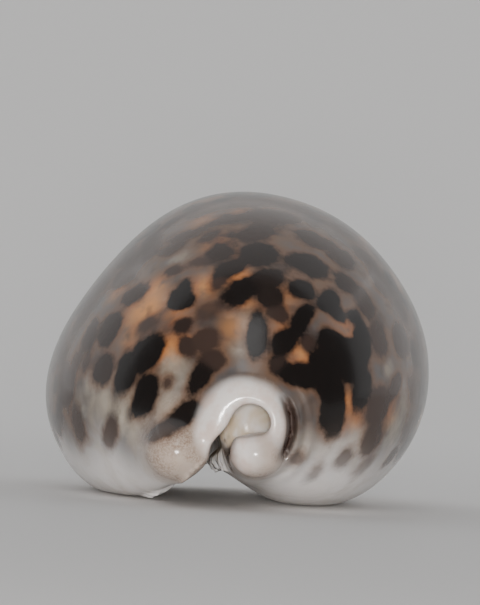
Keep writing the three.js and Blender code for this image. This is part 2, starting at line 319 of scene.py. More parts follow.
def ring_distance(canal, x, y, z):
    """A round bar along Y, rounded at the canal's outer end."""
    out = np.hypot(x - canal["x"], z - canal["z"]) - canal["radius"] + RING_ROUNDING
    side = math.copysign(1, canal["tip"])
    past = (y - canal["tip"]) * side + RING_ROUNDING
    inner = (canal["root"] - y) * side
    rounded = np.hypot(np.maximum(out, 0), np.maximum(past, 0)) + np.minimum(np.maximum(out, past), 0)
    return np.maximum(rounded - RING_ROUNDING, inner)


def hole_distance(canal, x, y, z):
    """The canal's hole, wider inside the shell."""
    side = math.copysign(1, canal["tip"])
    share = (canal["tip"] - y) * side / abs(canal["tip"] - canal["root"])
    radius = canal["hole_radius"] + (canal["inside"] - canal["hole_radius"]) * np.clip(share, 0, 1)
    out = np.hypot(x - canal["hole"][0], z - canal["hole"][1]) - radius
    return np.maximum(out, (canal["root"] - y) * side - HOLE_OVERLAP)


def lip_end_distance(end, x, y, z):
    """A tapering bar with a round tip, from inside the lip to its end."""
    (rx, ry, rz), (tx, ty, tz) = end["root"], end["tip"]
    side = math.copysign(1, ty)
    ball = end["across"] * LIP_END_POINT
    last = ty - side * ball
    t = np.clip((y - ry) / (last - ry), 0, 1)
    wide = LIP_END_ROOT + (end["across"] - LIP_END_ROOT) * t
    tall = LIP_END_ROOT + (end["up"] - LIP_END_ROOT) * t
    dx = (x - rx - (tx - rx) * t) / wide
    dz = (z - rz - (tz - rz) * t ** LIP_END_BEND) / tall
    dy = (y - np.clip(y * side, ry * side, last * side) * side) / ball
    reach = np.sqrt(dx * dx + dy * dy + dz * dz) + TINY
    slope = np.sqrt((dx / wide) ** 2 + (dy / ball) ** 2 + (dz / tall) ** 2) + TINY
    return reach * (reach - 1) / slope


def columella_distance(x, y, z):
    """A long bar beside the slot with rounded ends."""
    c = COLUMELLA
    middle = np.interp(y, *slot_middle) + np.interp(y, *slot_half) + c["across"]
    middle = middle - c["lean"] * (1 - step(*c["lean_over"], y))
    past = y - np.clip(y, c["y0"] + c["rounding"], c["y1"] - c["rounding"])
    dx, dz, dy = (x - middle) / c["across"], (z - c["z"]) / c["up"], past / c["rounding"]
    reach = np.sqrt(dx * dx + dy * dy + dz * dz) + TINY
    slope = np.sqrt((dx / c["across"]) ** 2 + (dy / c["rounding"]) ** 2 + (dz / c["up"]) ** 2) + TINY
    return reach * (reach - 1) / slope


def beside_canal(x, y, z, turns):
    """1 beside the front canal and near it, between the angles given, easing to 0 past them."""
    turn = np.degrees(np.arctan2(z - FRONT_CANAL["z"], x - FRONT_CANAL["x"]))
    return step(*turns[:2], turn) * (1 - step(*turns[2:], turn)) * (1 - step(*FOLD_DEEP, y))


def fold_depth(x, y, z):
    """How deep the crease and the folds beside the front canal are, below zero where they stand out."""
    out = np.hypot(x - FRONT_CANAL["x"], z - FRONT_CANAL["z"])

    def profile(radius, deep, wide):
        return deep * np.exp(-((out - radius) / wide) ** 2)

    folds = sum(profile(*fold) for fold in FOLDS)
    return profile(*CREASE) * beside_canal(x, y, z, CREASE_TURNS) + folds * beside_canal(x, y, z, FOLD_TURNS)


def tooth_height(x, y, z):
    """The ridges across both lips, each a little different from its neighbours."""
    middle = np.interp(y, *slot_middle)
    side = np.where(x < middle, 0, 1)
    out = np.abs(x - middle) - np.interp(y, *slot_half)
    above = z - lip_height(y)
    pitch = (TEETH_TO - TEETH_FROM) / (TEETH_PER_SIDE - 1)
    skew = np.where(side == 0, *TOOTH_SLANT) * out
    place = (y + skew - TEETH_FROM) / pitch + TOOTH_SHIFT * side
    tooth = np.clip(np.round(place), 0, TEETH_PER_SIDE - 1)
    off = (place - tooth) * pitch
    vary = np.sin(tooth * TOOTH_VARIES + side * SIDE_VARIES) * 0.5
    reach = np.where(side == 0, *TOOTH_REACH) * (1 + REACH_VARIES * vary)
    ridge = np.exp(-(off / TOOTH_WIDTH) ** 2)
    across = (1 - step(TOOTH_FULL * reach, reach, out)) * (1 - step(0.5 * TOOTH_CLIMB, TOOTH_CLIMB, above))
    across *= step(*TOOTH_BOTTOM, above)
    along = step(*TEETH_RISE, y) * (1 - step(*TEETH_FALL, y))
    along *= FRONT_TEETH + (1 - FRONT_TEETH) * step(*FRONT_TEETH_TO, y)
    return TOOTH_HEIGHT * (1 + HEIGHT_VARIES * vary) * ridge * across * along


def undulation(x, y, z):
    """Slow unevenness of a grown surface, never outwards."""
    total = sum(np.sin(a * x + b * y + c * z + d) for a, b, c, d in WAVES)
    return WAVE_HEIGHT * (total + len(WAVES)) * step(*WAVE_FADE, z)


def shell_field(x, y, z):
    """Negative in the shell's wall, near to the distance from its surface elsewhere."""
    outer = outer_body.at(x, y, z) + undulation(x, y, z)
    collar = COLLAR + (FOLDED_COLLAR - COLLAR) * beside_canal(x, y, z, FOLD_TURNS)
    outer = smooth_min(outer, ring_distance(FRONT_CANAL, x, y, z), collar)
    outer = smooth_min(outer, ring_distance(BACK_CANAL, x, y, z), COLLAR)
    outer = outer + fold_depth(x, y, z)
    pit = np.sqrt(sum((p - c) ** 2 for p, c in zip((x, y, z), SPIRE_PIT["centre"]))) - SPIRE_PIT["radius"]
    outer = smooth_max(outer, -pit, SPIRE_PIT["blend"])
    hollow = hollow_body.at(x, y, z)
    hollow = smooth_min(hollow, hole_distance(FRONT_CANAL, x, y, z), HOLE_BLEND)
    hollow = smooth_min(hollow, hole_distance(BACK_CANAL, x, y, z), HOLE_BLEND)
    shell = smooth_max(outer, -hollow, RIM_ROUNDING)
    shell = smooth_max(shell, -slot_distance(x, y, z), LIP_ROUNDING)
    shell = smooth_min(shell, columella_distance(x, y, z), COLUMELLA["blend"])
    for end in LIP_ENDS:
        left, right = end["blend"]
        blend = left + (right - left) * step(-end["across"], end["across"], x - end["tip"][0])
        shell = smooth_min(shell, lip_end_distance(end, x, y, z), blend)
    shell = shell - tooth_height(x, y, z)
    return smooth_max(shell, -z, BASE_ROUNDING)


def field_normals(points, h=0.12):
    """Unit gradient of the field at points."""
    steps = h * np.eye(3)
    gradient = np.stack([shell_field(*(points + s).T) - shell_field(*(points - s).T) for s in steps], 1)
    return gradient / np.linalg.norm(gradient, axis=1)[:, None]


CORNERS = [(i, j, k) for i in (0, 1) for j in (0, 1) for k in (0, 1)]
EDGES = [(a, b) for a in range(8) for b in range(a + 1, 8)
         if sum(abs(p - q) for p, q in zip(CORNERS[a], CORNERS[b])) == 1]


def surface_net(values, low, spacing):
    """Points and four-sided faces of a field's zero surface: one point in each cell that it crosses."""
    inside = values < 0
    shape = tuple(n - 1 for n in values.shape)

    def corner(array, c):
        return array[tuple(slice(c[i], c[i] + shape[i]) for i in range(3))]

    count = sum(corner(inside, c).astype(np.int8) for c in CORNERS)
    cells = np.argwhere((count > 0) & (count < 8))
    number = np.full(shape, -1, np.int64)
    number[tuple(cells.T)] = np.arange(len(cells))
    at_corner = [values[tuple((cells + c).T)] for c in CORNERS]
    total = np.zeros((len(cells), 3))
    crossings = np.zeros(len(cells))
    for a, b in EDGES:
        va, vb = at_corner[a], at_corner[b]
        crossed = (va < 0) != (vb < 0)
        t = np.where(crossed, va / np.where(crossed, va - vb, 1), 0)
        place = np.array(CORNERS[a]) + t[:, None] * (np.array(CORNERS[b]) - CORNERS[a])
        total += place * crossed[:, None]
        crossings += crossed
    points = low + spacing * (cells + total / crossings[:, None])
    faces = []
    for axis in range(3):
        others = [(axis + 1) % 3, (axis + 2) % 3]
        change = inside != np.roll(inside, -1, axis)
        change[tuple(slice(-1, None) if i == axis else slice(None) for i in range(3))] = False
        for other in others:
            change[tuple(slice(0, 1) if i == other else slice(None) for i in range(3))] = False
            change[tuple(slice(-1, None) if i == other else slice(None) for i in range(3))] = False
        spots = np.argwhere(change)
        ring = []
        for du, dv in ((0, 0), (1, 0), (1, 1), (0, 1)):
            cell = spots.copy()
            cell[:, others[0]] -= du
            cell[:, others[1]] -= dv
            ring.append(number[tuple(cell.T)])
        quad = np.stack(ring, 1)
        leaves = inside[tuple(spots.T)]
        quad[~leaves] = quad[~leaves][:, ::-1]
        faces.append(quad)
    return points, np.concatenate(faces)


def on_surface(points, h=0.1, least_slope=0.5, furthest=0.3):
    """Points moved onto the field's zero surface along its gradient."""
    value = shell_field(*points.T)
    gradient = np.stack([(shell_field(*(points + h * np.eye(3)[i]).T) - value) / h for i in range(3)], 1)
    squared = np.maximum((gradient ** 2).sum(1), least_slope ** 2)
    return points - gradient * np.clip(value / squared, -furthest, furthest)[:, None]


def relaxed(points, faces, rounds):
    """Points slid towards their neighbours' middle and back onto the surface."""
    pairs = np.concatenate([faces[:, [i, (i + 1) % 4]] for i in range(4)])
    degree = np.bincount(pairs.ravel(), minlength=len(points)).astype(float)
    for _ in range(rounds):
        total = np.zeros_like(points)
        for a, b in ((0, 1), (1, 0)):
            for i in range(3):
                total[:, i] += np.bincount(pairs[:, a], weights=points[pairs[:, b], i], minlength=len(points))
        points = on_surface(points + 0.5 * (total / degree[:, None] - points))
    return points


def shell_mesh():
    """The shell's points, faces and normals, fitted to its box in the frame."""
    low = np.array([-WIDTH / 2, -HALF_LENGTH, 0]) - MARGIN * GRID
    blocks = [int(math.ceil((n + 2 * MARGIN * GRID) / (GRID * BLOCK))) for n in (WIDTH, LENGTH, HEIGHT)]
    middles = low + GRID * BLOCK * (np.indices(blocks).reshape(3, -1).T + 0.5)
    coarse = shell_field(*middles.T).reshape(blocks)
    values = np.kron(coarse, np.ones((BLOCK, BLOCK, BLOCK)))
    near = np.argwhere(np.abs(values) < BLOCK_REACH)
    values[tuple(near.T)] = shell_field(*(low + GRID * near).T)
    points, faces = surface_net(values, low, GRID)
    points = relaxed(points, faces, rounds=3)
    normals = field_normals(points)
    fit_low, fit_high = points.min(0), points.max(0)
    target = np.array([cad_low, cad_high]) / MM
    points = target[0] + (points - fit_low) / (fit_high - fit_low) * (target[1] - target[0])
    return points, faces, normals


def new_mesh_object(name, points, faces):
    mesh = bpy.data.meshes.new(name)
    mesh.from_pydata((points * MM).tolist(), [], faces.tolist())
    mesh.update()
    made = bpy.data.objects.new(name, mesh)
    bpy.context.scene.collection.objects.link(made)
    return made


# Camera, looking along the shell onto its front canal
PHOTO_SIZE = (480, 605)
SHELL_CENTRE_PX = (239.5, 344.5)
PX_PER_MM = 5.77  # at the shell's widest place
CAMERA_AWAY = 700
CAMERA_UP = math.radians(-0.3)
CAMERA_ROLL = math.radians(3.4)


def camera_frame():
    """The camera's place in millimetres, and its right, up and back directions."""
    back = Vector((0, -math.cos(CAMERA_UP), math.sin(CAMERA_UP)))
    turn = Matrix.Rotation(CAMERA_ROLL, 3, back)
    right, up = turn @ Vector((1, 0, 0)), turn @ Vector((1, 0, 0)).cross(-back)
    off_x = (SHELL_CENTRE_PX[0] - PHOTO_SIZE[0] / 2) / PX_PER_MM
    off_y = (SHELL_CENTRE_PX[1] - PHOTO_SIZE[1] / 2) / PX_PER_MM
    place = Vector((0, WIDEST_Y, HEIGHT / 2)) - right * off_x + up * off_y + back * CAMERA_AWAY
    return place, right, up, back


def make_camera():
    place, right, up, back = camera_frame()
    data = bpy.data.cameras.new("camera")
    data.sensor_width = 36
    data.lens = data.sensor_width * CAMERA_AWAY * PX_PER_MM / PHOTO_SIZE[1]
    data.clip_start, data.clip_end = 0.01, 20
    camera = bpy.data.objects.new("camera", data)
    bpy.context.scene.collection.objects.link(camera)
    camera.matrix_world = Matrix.Translation(place * MM) @ Matrix((right, up, back)).transposed().to_4x4()
    bpy.context.scene.camera = camera


# The spots that the photograph shows: x and y of the middle in its pixels, then half length and half width
# in millimetres as seen there, the angle of the length from level, and how dark, with 1 for black
SEEN_SPOTS = [
    # Outer-lip side, black
    (178.6, 301.3, 2.3, 2.0, 20, 1), (184.5, 286, 1.3, 0.9, 30, 1), (148.5, 352.6, 3.4, 2.2, 58, 1),
    (125.5, 372, 3.3, 1.7, 72, 1), (144.9, 396.5, 3.2, 1.8, 72, 1), (201.4, 379, 2.8, 1.2, 60, 0.95),
    # The one at 164, 427.5 is a dark streak along the hollow above the outer lip's tip
    (187, 413.5, 2.8, 1.3, 30, 0.95), (164, 427.5, 3.3, 1.1, 27, 0.8),
    # Outer-lip side, dark grey and brown
    (136.1, 292.5, 2.3, 1.3, 30, 0.8), (111.9, 327.7, 3.0, 1.7, 65, 0.85), (90.6, 336.5, 2.9, 1.3, 72, 0.8),
    (102.3, 368.8, 2.8, 1.6, 80, 0.85), (84, 314, 2.3, 1.0, 65, 0.6), (76, 363, 1.5, 0.7, 75, 0.6),
    (85.5, 364.4, 1.5, 0.7, 80, 0.6), (65.7, 389.3, 3.5, 1.3, 85, 0.75), (63.5, 354, 2.5, 1.1, 80, 0.6),
    (77.4, 426, 3.2, 1.3, 95, 0.7), (110.4, 430.4, 2.8, 1.3, 75, 0.65), (148.5, 323.3, 1.6, 0.9, 30, 0.6),
    (181.6, 328.5, 1.6, 1.0, 10, 0.85), (188.2, 349.7, 1.8, 1.3, -45, 0.8), (167.6, 384.9, 0.9, 0.7, 60, 0.6),
    (172, 272, 1.6, 0.9, 25, 0.7), (142.7, 254.3, 3.8, 1.7, 35, 0.7), (126, 275.5, 3.4, 1.5, 42, 0.65),
    (101.6, 285, 3.0, 1.3, 52, 0.6), (108, 259, 2.4, 1.0, 48, 0.5), (205.8, 342.4, 2.2, 1.9, 0, 0.75),
    (213.8, 361, 1.8, 1.5, 0, 0.8), (206, 313, 1.9, 1.2, 30, 0.45), (60, 330, 2.2, 0.8, 72, 0.5),
    # Top
    (186.7, 233.8, 2.4, 0.8, 15, 0.65), (171.7, 248.8, 1.8, 0.8, 20, 0.6), (197.2, 232, 2.1, 0.7, 15, 0.6),
    (225.3, 222, 2.5, 0.9, 12, 0.65), (213.8, 237.3, 1.8, 0.9, 20, 0.7), (218.9, 253.9, 2.3, 1.2, 25, 0.85),
    (198.5, 262.8, 1.6, 0.7, 10, 0.6), (230.4, 267.9, 2.7, 1.4, 40, 0.9), (221.4, 283, 1.4, 0.8, 50, 0.75),
    (254.6, 233.5, 4.1, 1.2, 12, 0.8), (269.9, 219.4, 4.8, 1.3, 0, 0.7), (259.7, 253.9, 3.2, 1.9, -20, 0.9),
    (244.4, 290.9, 3.8, 1.5, 35, 0.95), (268.6, 279.4, 2.8, 1.4, 10, 0.9), (271.2, 297, 2.2, 2.0, 90, 0.9),
    (278.8, 314, 1.7, 1.5, 0, 0.8), (255.9, 335.5, 3.8, 1.6, 88, 0.95), (301.8, 290.9, 2.0, 1.7, -20, 0.95),
    (308.2, 266.6, 3.6, 1.7, -20, 0.9), (313.3, 239.8, 3.3, 1.2, -8, 0.8), (340.4, 257, 2.4, 1.4, -20, 0.8),
    (240, 203, 4.5, 1.0, 2, 0.5), (290, 206, 4, 0.9, -10, 0.5), (196, 212, 3.4, 0.8, 18, 0.5),
    # Inner-lip side, the black patch
    (304.5, 320, 2.8, 1.3, 50, 1), (283.5, 342.5, 2.7, 1.5, 50, 1), (327.8, 299.5, 2.3, 1.6, 60, 1),
    (336, 312.5, 1.4, 1.0, -40, 0.95), (352.7, 316, 1.4, 1.3, 0, 0.95), (362, 337.8, 3.1, 1.6, 98, 1),
    (331.7, 345, 2.3, 2.2, 0, 1), (352.7, 358.5, 3.6, 3.0, 60, 1), (325, 361, 2.6, 2.0, 0, 1),
    (303.6, 377, 3.9, 1.8, -10, 1), (332.5, 408, 4.6, 2.0, 82, 1), (329, 385, 2.6, 2.3, 90, 1),
    (363.2, 390, 3.2, 1.3, 80, 1), (307, 343.5, 1.3, 1.2, 0, 0.8), (278, 366, 1.6, 1.1, 60, 0.85),
    # Inner-lip side, dark grey
    (345.7, 283.4, 2.1, 1.5, -50, 0.85), (364.5, 303, 2.9, 1.5, -58, 0.8), (379.5, 338, 2.8, 1.3, 88, 0.75),
    (400, 341.3, 2.7, 1.2, 92, 0.75), (400, 308, 2.8, 1.2, -75, 0.65), (380, 281.7, 3.2, 1.5, -55, 0.65),
    (366.8, 259, 2.8, 1.3, -40, 0.65), (420, 350, 3.6, 1.0, 88, 0.6), (394.8, 387, 2.3, 1.2, 55, 0.7),
    (379, 407, 3.2, 1.9, 58, 0.75), (370.3, 440, 2.9, 1.4, 68, 0.7), (344, 458.9, 1.9, 1.2, 50, 0.65),
    (295.7, 458.9, 1.2, 0.9, 50, 0.5), (312.4, 474.6, 1.5, 0.7, 55, 0.45), (410.6, 425.5, 2.4, 0.7, 65, 0.5),
    (413, 385, 2.4, 0.8, 82, 0.5), (345, 232, 3.0, 0.9, -28, 0.5), (392, 263, 2.6, 0.9, -52, 0.5),
    (411, 300, 2.8, 0.8, -68, 0.5), (362, 466, 1.8, 0.8, 45, 0.45),
]
SPOT_DEPTH = 1.4  # how far a seen spot runs along the line of sight, over its half length
SPOT_GROWTH = 0.16  # how much wider than given the darkest ones are, all round
DARK_TONES = (0.65, 0.95)  # the tones between which that comes in
SPOT_MERGE = 0.3  # how softly spots run into each other
SPOT_WARP, WARP_SIZE = 0.75, 4.5  # how far their outlines wander, and over what distance
FIELD_LIMITS, SPOT_LIMITS = (-4, 12), (-3, 4)  # of one spot's field, and of all of them together

# The spots that it doesn't show are strewn over the rest of the back and sides
SEED = 11
STREWN_TRIES = 9000
STREWN_RADIUS = (1.7, 4.3)
STREWN_LEAN = 1.6  # above 1, so that more of them are small
STREWN_LOW = 0.45  # share of the radii's range that is in use at the base, with all of it at the top
STREWN_GAP = 0.9
STREWN_LENGTH = (1, 1.35)  # over the width
STREWN_TURN = 0.6  # how far their length turns from along the back, in radians
STREWN_TONE = (0.7, 1)
STREWN_ABOVE = 9  # height over the floor
STREWN_OUTSIDE = -1  # least distance from the rounded body
STREWN_OFF_RIMS = 0.1  # most of a rim's or tip's finish where they may be
SEEN_FACING = 0.3  # how far a face is turned to the camera, from 0 to 1, where the photograph shows it well

# Orange-tan clouds in the photograph: x and y in its pixels, radius in millimetres and strength
WARM_CLOUDS = [
    (145, 308, 4.2, 1), (152, 292, 3.0, 0.8), (166, 350, 3.0, 0.95), (184, 342, 2.4, 0.5),
    (172, 316, 3.0, 0.6), (203, 286, 2.6, 0.8), (230, 327, 2.4, 0.8), (238, 274, 2.6, 0.9),
    (218, 243, 2.4, 0.7), (248, 305, 2.6, 0.6), (133, 335, 2.6, 0.5), (119, 290, 2.4, 0.5),
    (300, 355, 3.0, 0.7), (346, 327, 2.4, 0.6), (350, 400, 3.0, 0.7), (286, 301, 2.4, 0.4),
    (236, 258, 2.4, 0.7), (244, 213, 2.4, 0.5), (201, 221, 2.4, 0.5), (352, 425, 2.6, 0.6),
    (390, 411, 2.6, 0.5), (283, 330, 2.2, 0.4),
]

# Cream clouds, in the same way
PALE_CLOUDS = [
    (102, 402, 5.0, 1), (122, 412, 4.4, 1), (92, 388, 3.2, 0.8), (135, 428, 4.2, 0.7),
    (165, 400, 4.0, 0.55), (178, 372, 3.8, 0.6), (172, 365, 2.6, 0.5), (250, 322, 3.2, 0.45),
    (242, 345, 3.0, 0.35), (80, 405, 3.2, 0.7), (395, 430, 4.2, 0.7), (355, 448, 4.0, 0.7),
    (405, 400, 3.4, 0.5), (330, 452, 4.0, 0.6), (180, 256, 3.4, 0.35), (170, 300, 2.4, 0.4),
    (375, 322, 2.4, 0.35), (388, 368, 2.4, 0.35), (300, 448, 3.6, 0.6),
]
CLOUD_SIZE = 0.88  # how wide a cloud is, over its radius

# Clouds on the sides that it doesn't show: size and seed of their noise, and their share where that is 0
WARM_UNSEEN = dict(size=7, seed=8, middling=0.3)
PALE_UNSEEN = dict(size=8, seed=9, middling=0.35)
UNSEEN_SWING = 1.4
UNSEEN_WARMTH = 0.6
UNSEEN_PALE_BELOW = (45, 15)  # the heights between which the pale ones come in

# Where one finish gives way to the next, each as the two values between which its share goes from 0 to 1
FRONT_END, BACK_END = (-34, -41), (36, 41)  # y
FRONT_RIM, BACK_RIM = (8.6, 6.6), (8.6, 6.4)  # distance from the canal's middle
TIP_ENDS = (36, 43)  # distance from the shell's middle along it
TIP_SPREAD = 0.7  # how far a tip's finish runs into the body, over its softness there
TIP_WHOLE = -0.5  # distance from a lip's end at which it has only that finish
TIP_OVER_RIM = 0.9  # how much of the rim's finish a tip hides
TIP_RIM_SIDE = (1.5, 5.5)  # and the x between which it comes to do so
WALL_OUTSIDE = (-2.4, -1.0)  # distance from the rounded body
PIT_OUTSIDE = (1.6, 0.8)  # distance from the spire pit
BASE_WHITE = (15, 2.5)  # height
CREASE_SPREAD = 1.6  # width of its colour over its own
RIM_WANDER, TIP_WANDER, WHITE_WANDER = 0.3, 0.8, 2.4  # how uneven their edges are


def lattice_noise(points, size, seed):
    """Smooth noise from -1 to 1 with features of about size."""
    count, shift = 32, 100
    table = np.random.default_rng(seed).random((count, count, count)) * 2 - 1
    p = points / size + shift
    whole = np.floor(p).astype(int)
    f = p - whole
    f = f * f * (3 - 2 * f)
    total = np.zeros(len(points))
    for corner in CORNERS:
        weight = np.prod(np.where(corner, f, 1 - f), axis=1)
        total += weight * table[tuple(((whole + corner) % count).T)]
    return total


def seen_places(pixels, tree):
    """Where the camera's rays through the photograph's pixels meet the shell."""
    place, right, up, back = camera_frame()
    focal = CAMERA_AWAY * PX_PER_MM
    for x, y in pixels:
        ray = right * ((x - PHOTO_SIZE[0] / 2) / focal) + up * ((PHOTO_SIZE[1] / 2 - y) / focal) - back
        yield tree.ray_cast(place, ray.normalized())[0]


def seen_spots(points, tree):
    """For each seen spot its distance field over points, its tone, its middle and its radius."""
    _, right, up, back = camera_frame()
    places = seen_places([spot[:2] for spot in SEEN_SPOTS], tree)
    for (_, _, long, wide, angle, tone), middle in zip(SEEN_SPOTS, places):
        if middle is None:
            continue
        turn = math.radians(angle)
        along = np.array(right * math.cos(turn) + up * math.sin(turn))
        across = np.array(up * math.cos(turn) - right * math.sin(turn))
        offset = points - np.array(middle)
        reach = np.sqrt((offset @ along / long) ** 2 + (offset @ across / wide) ** 2
                        + (offset @ np.array(back) / (SPOT_DEPTH * long)) ** 2)
        field = (reach - 1) * wide - SPOT_GROWTH * step(*DARK_TONES, tone)
        yield field, tone, np.array(middle), (long + wide) / 2


def strewn_spots(points, normals, free, taken):
    """The fields and tones of spots strewn over the free points, clear of the ones taken."""
    rng = np.random.default_rng(SEED)
    order = rng.choice(np.flatnonzero(free), STREWN_TRIES)
    middles, radii = [t[0] for t in taken], [t[1] for t in taken]
    smallest, largest = STREWN_RADIUS
    for i in order:
        share = STREWN_LOW + (1 - STREWN_LOW) * points[i, 2] / HEIGHT
        radius = smallest + (largest - smallest) * rng.random() ** STREWN_LEAN * share
        gaps = np.linalg.norm(np.array(middles) - points[i], axis=1) - np.array(radii)
        if gaps.min() < radius + STREWN_GAP * rng.random():
            continue
        middles.append(points[i])
        radii.append(radius)
        long = radius * rng.uniform(*STREWN_LENGTH)
        turn = rng.uniform(-STREWN_TURN, STREWN_TURN)
        along = np.cross(normals[i], (math.cos(turn), math.sin(turn), 0))
        along /= np.linalg.norm(along)
        offset = points - points[i]
        part = offset @ along
        rest = np.sqrt(np.maximum((offset ** 2).sum(1) - part ** 2, 0))
        reach = np.sqrt((part / long) ** 2 + (rest / radius) ** 2)
        yield (reach - 1) * radius, rng.uniform(*STREWN_TONE)


def shell_masks(points):
    """Shares of each finish at the shell's points, as named values, and the distance from the body."""
    x, y, z = points.T
    outer = outer_body.at(x, y, z)
    slow, quick = lattice_noise(points, 9, seed=5), lattice_noise(points, 4, seed=6)
    front_out = np.hypot(x - FRONT_CANAL["x"], z - FRONT_CANAL["z"])
    back_out = np.hypot(x - BACK_CANAL["x"], z - BACK_CANAL["z"])
    front = step(*FRONT_END, y)
    front_rim = front * step(*FRONT_RIM, front_out + RIM_WANDER * quick)
    rim = np.maximum(front_rim, step(*BACK_END, y) * step(*BACK_RIM, back_out))
    tips = np.zeros(len(points))
    for end in LIP_ENDS:
        away = lip_end_distance(end, x, y, z) + TIP_WANDER * quick
        tips = np.maximum(tips, step(end["blend"][0] * TIP_SPREAD, TIP_WHOLE, away))
    tips *= step(*TIP_ENDS, np.abs(y))
    pit = np.linalg.norm(points - SPIRE_PIT["centre"], axis=1) - SPIRE_PIT["radius"]
    outside = np.maximum(step(*WALL_OUTSIDE, outer), step(*PIT_OUTSIDE, pit))
    rim *= 1 - TIP_OVER_RIM * tips * step(*TIP_RIM_SIDE, x + TIP_WANDER * quick)
    inside = (1 - outside) * (1 - rim) * (1 - tips)
    white = step(*BASE_WHITE, z + WHITE_WANDER * slow)
    # The crease's share is painted shade, darkest along the bottom of the crease beside the front canal
    crease = np.exp(-((front_out - CREASE[0]) / (CREASE_SPREAD * CREASE[2])) ** 2)
    crease *= beside_canal(x, y, z, CREASE_TURNS)
    return dict(outer=outer, outside=outside, inside=inside, white=white, rim=rim, tips=tips,
                crease=crease * front)


def cloud_share(clouds, points, tree):
    """How much of a cloud's colour there is at each point."""
    share = np.zeros(len(points))
    places = seen_places([cloud[:2] for cloud in clouds], tree)
    for (_, _, radius, strength), middle in zip(clouds, places):
        if middle is not None:
            away = np.linalg.norm(points - np.array(middle), axis=1)
            share = np.maximum(share, strength * np.exp(-(away / (CLOUD_SIZE * radius)) ** 2))
    return share


def unseen_clouds(points, size, seed, middling):
    """Shares of clouds from 0 to 1, made by noise alone."""
    return np.clip(middling + UNSEEN_SWING * lattice_noise(points, size, seed), 0, 1)


def paint(points, faces, normals):
    """The shell's markings as values at its points."""
    tree = BVHTree.FromPolygons(points.tolist(), faces.tolist())
    masks = shell_masks(points)
    outer = masks.pop("outer")
    warp = np.stack([lattice_noise(points, WARP_SIZE, seed) for seed in (1, 2, 3)], 1)
    bent = points + SPOT_WARP * warp
    total = np.zeros(len(points))
    tones = np.zeros(len(points))
    taken = []

    def add(field, tone):
        weight = np.exp(-np.clip(field, *FIELD_LIMITS) / SPOT_MERGE)
        np.add(total, weight, out=total)
        np.add(tones, weight * tone, out=tones)

    for field, tone, middle, radius in seen_spots(bent, tree):
        add(field, tone)
        taken.append((middle, radius))
    *_, back = camera_frame()
    height = points[:, 2]
    faced = normals @ np.array(back)
    free = (outer > STREWN_OUTSIDE) & (height > STREWN_ABOVE) & (faced < SEEN_FACING)
    free &= masks["rim"] + masks["tips"] < STREWN_OFF_RIMS
    for field, tone in strewn_spots(bent, normals, free, taken):
        add(field, tone)
    spot = -SPOT_MERGE * np.log(total)
    hidden = 1 - step(0.0, SEEN_FACING, faced)
    warm = hidden * unseen_clouds(points, **WARM_UNSEEN) * UNSEEN_WARMTH
    pale = hidden * unseen_clouds(points, **PALE_UNSEEN) * step(*UNSEEN_PALE_BELOW, height)
    masks.update(spot=np.clip(spot, *SPOT_LIMITS), tone=tones / total,
                 warm=np.maximum(cloud_share(WARM_CLOUDS, bent, tree), warm),
                 pale=np.maximum(cloud_share(PALE_CLOUDS, bent, tree), pale))
    return masks


class Nodes:
    """Short calls for building a material's nodes."""
    COLOUR_A, COLOUR_B, COLOUR_OUT = 6, 7, 2  # a mix node's sockets for colours

    def __init__(self, name):
        self.material = bpy.data.materials.new(name)
        self.material.use_nodes = True
        self.tree = self.material.node_tree
        self.shader = self.tree.nodes["Principled BSDF"]

    def put(self, socket, value):
        if isinstance(value, bpy.types.NodeSocket):
            self.tree.links.new(value, socket)
        elif isinstance(value, tuple) and len(value) == 3 and socket.type == "RGBA":
            socket.default_value = (*value, 1)
        else:
            socket.default_value = value

    def node(self, kind, settings=(), **inputs):
        made = self.tree.nodes.new(kind)
        for key, value in dict(settings).items():
            setattr(made, key, value)
        for key, value in inputs.items():
            self.put(made.inputs[key.replace("_", " ")], value)
        return made

    def attribute(self, name):
        return self.node("ShaderNodeAttribute", dict(attribute_name=name)).outputs["Fac"]

    def math(self, kind, a, b=0.0, clamp=False):
        made = self.node("ShaderNodeMath", dict(operation=kind, use_clamp=clamp))
        self.put(made.inputs[0], a)
        self.put(made.inputs[1], b)
        return made.outputs[0]

    def noise(self, place, size_mm, detail=3.0, roughness=0.55, distortion=0.0):
        made = self.node("ShaderNodeTexNoise", Vector=place, Scale=1 / (size_mm * MM), Detail=detail,
                         Roughness=roughness, Distortion=distortion)
        return made.outputs["Fac"]

    def step(self, low, high, value):
        """The same as the function step, over a socket's values."""
        made = self.node("ShaderNodeMapRange", dict(interpolation_type="SMOOTHSTEP"), Value=value)
        flip = low > high
        self.put(made.inputs["From Min"], high if flip else low)
        self.put(made.inputs["From Max"], low if flip else high)
        self.put(made.inputs["To Min"], 1.0 if flip else 0.0)
        self.put(made.inputs["To Max"], 0.0 if flip else 1.0)
        return made.outputs["Result"]

    def mix(self, share, a, b):
        made = self.node("ShaderNodeMix", dict(data_type="RGBA"))
        self.put(made.inputs["Factor"], share)
        self.put(made.inputs[self.COLOUR_A], a)
        self.put(made.inputs[self.COLOUR_B], b)
        return made.outputs[self.COLOUR_OUT]


# Colours of the enamel, linear
CREAM = (0.50, 0.43, 0.34)
GREY_BROWN = (0.14, 0.098, 0.073)
BLUE_GREY = (0.105, 0.097, 0.096)
TAN = (0.66, 0.29, 0.095)
DEEP_BROWN = (0.05, 0.034, 0.028)
HALO = (0.15, 0.075, 0.04)
WARM_HALO = (0.55, 0.17, 0.04)
BLACK_BROWN = (0.006, 0.0035, 0.0025)
SPOT_BROWN = (0.05, 0.03, 0.023)
WHITE = (0.90, 0.865, 0.85)
RIM_PINK = (0.76, 0.62, 0.55)
RIM_EDGE = (0.86, 0.80, 0.76)
TIP_BROWN = (0.30, 0.19, 0.125)
TIP_PALE = (0.52, 0.41, 0.33)
# Painted shade in the crease beside the front canal
CREASE_SHADE = (0.035, 0.014, 0.009)
INSIDE = (0.68, 0.54, 0.37)


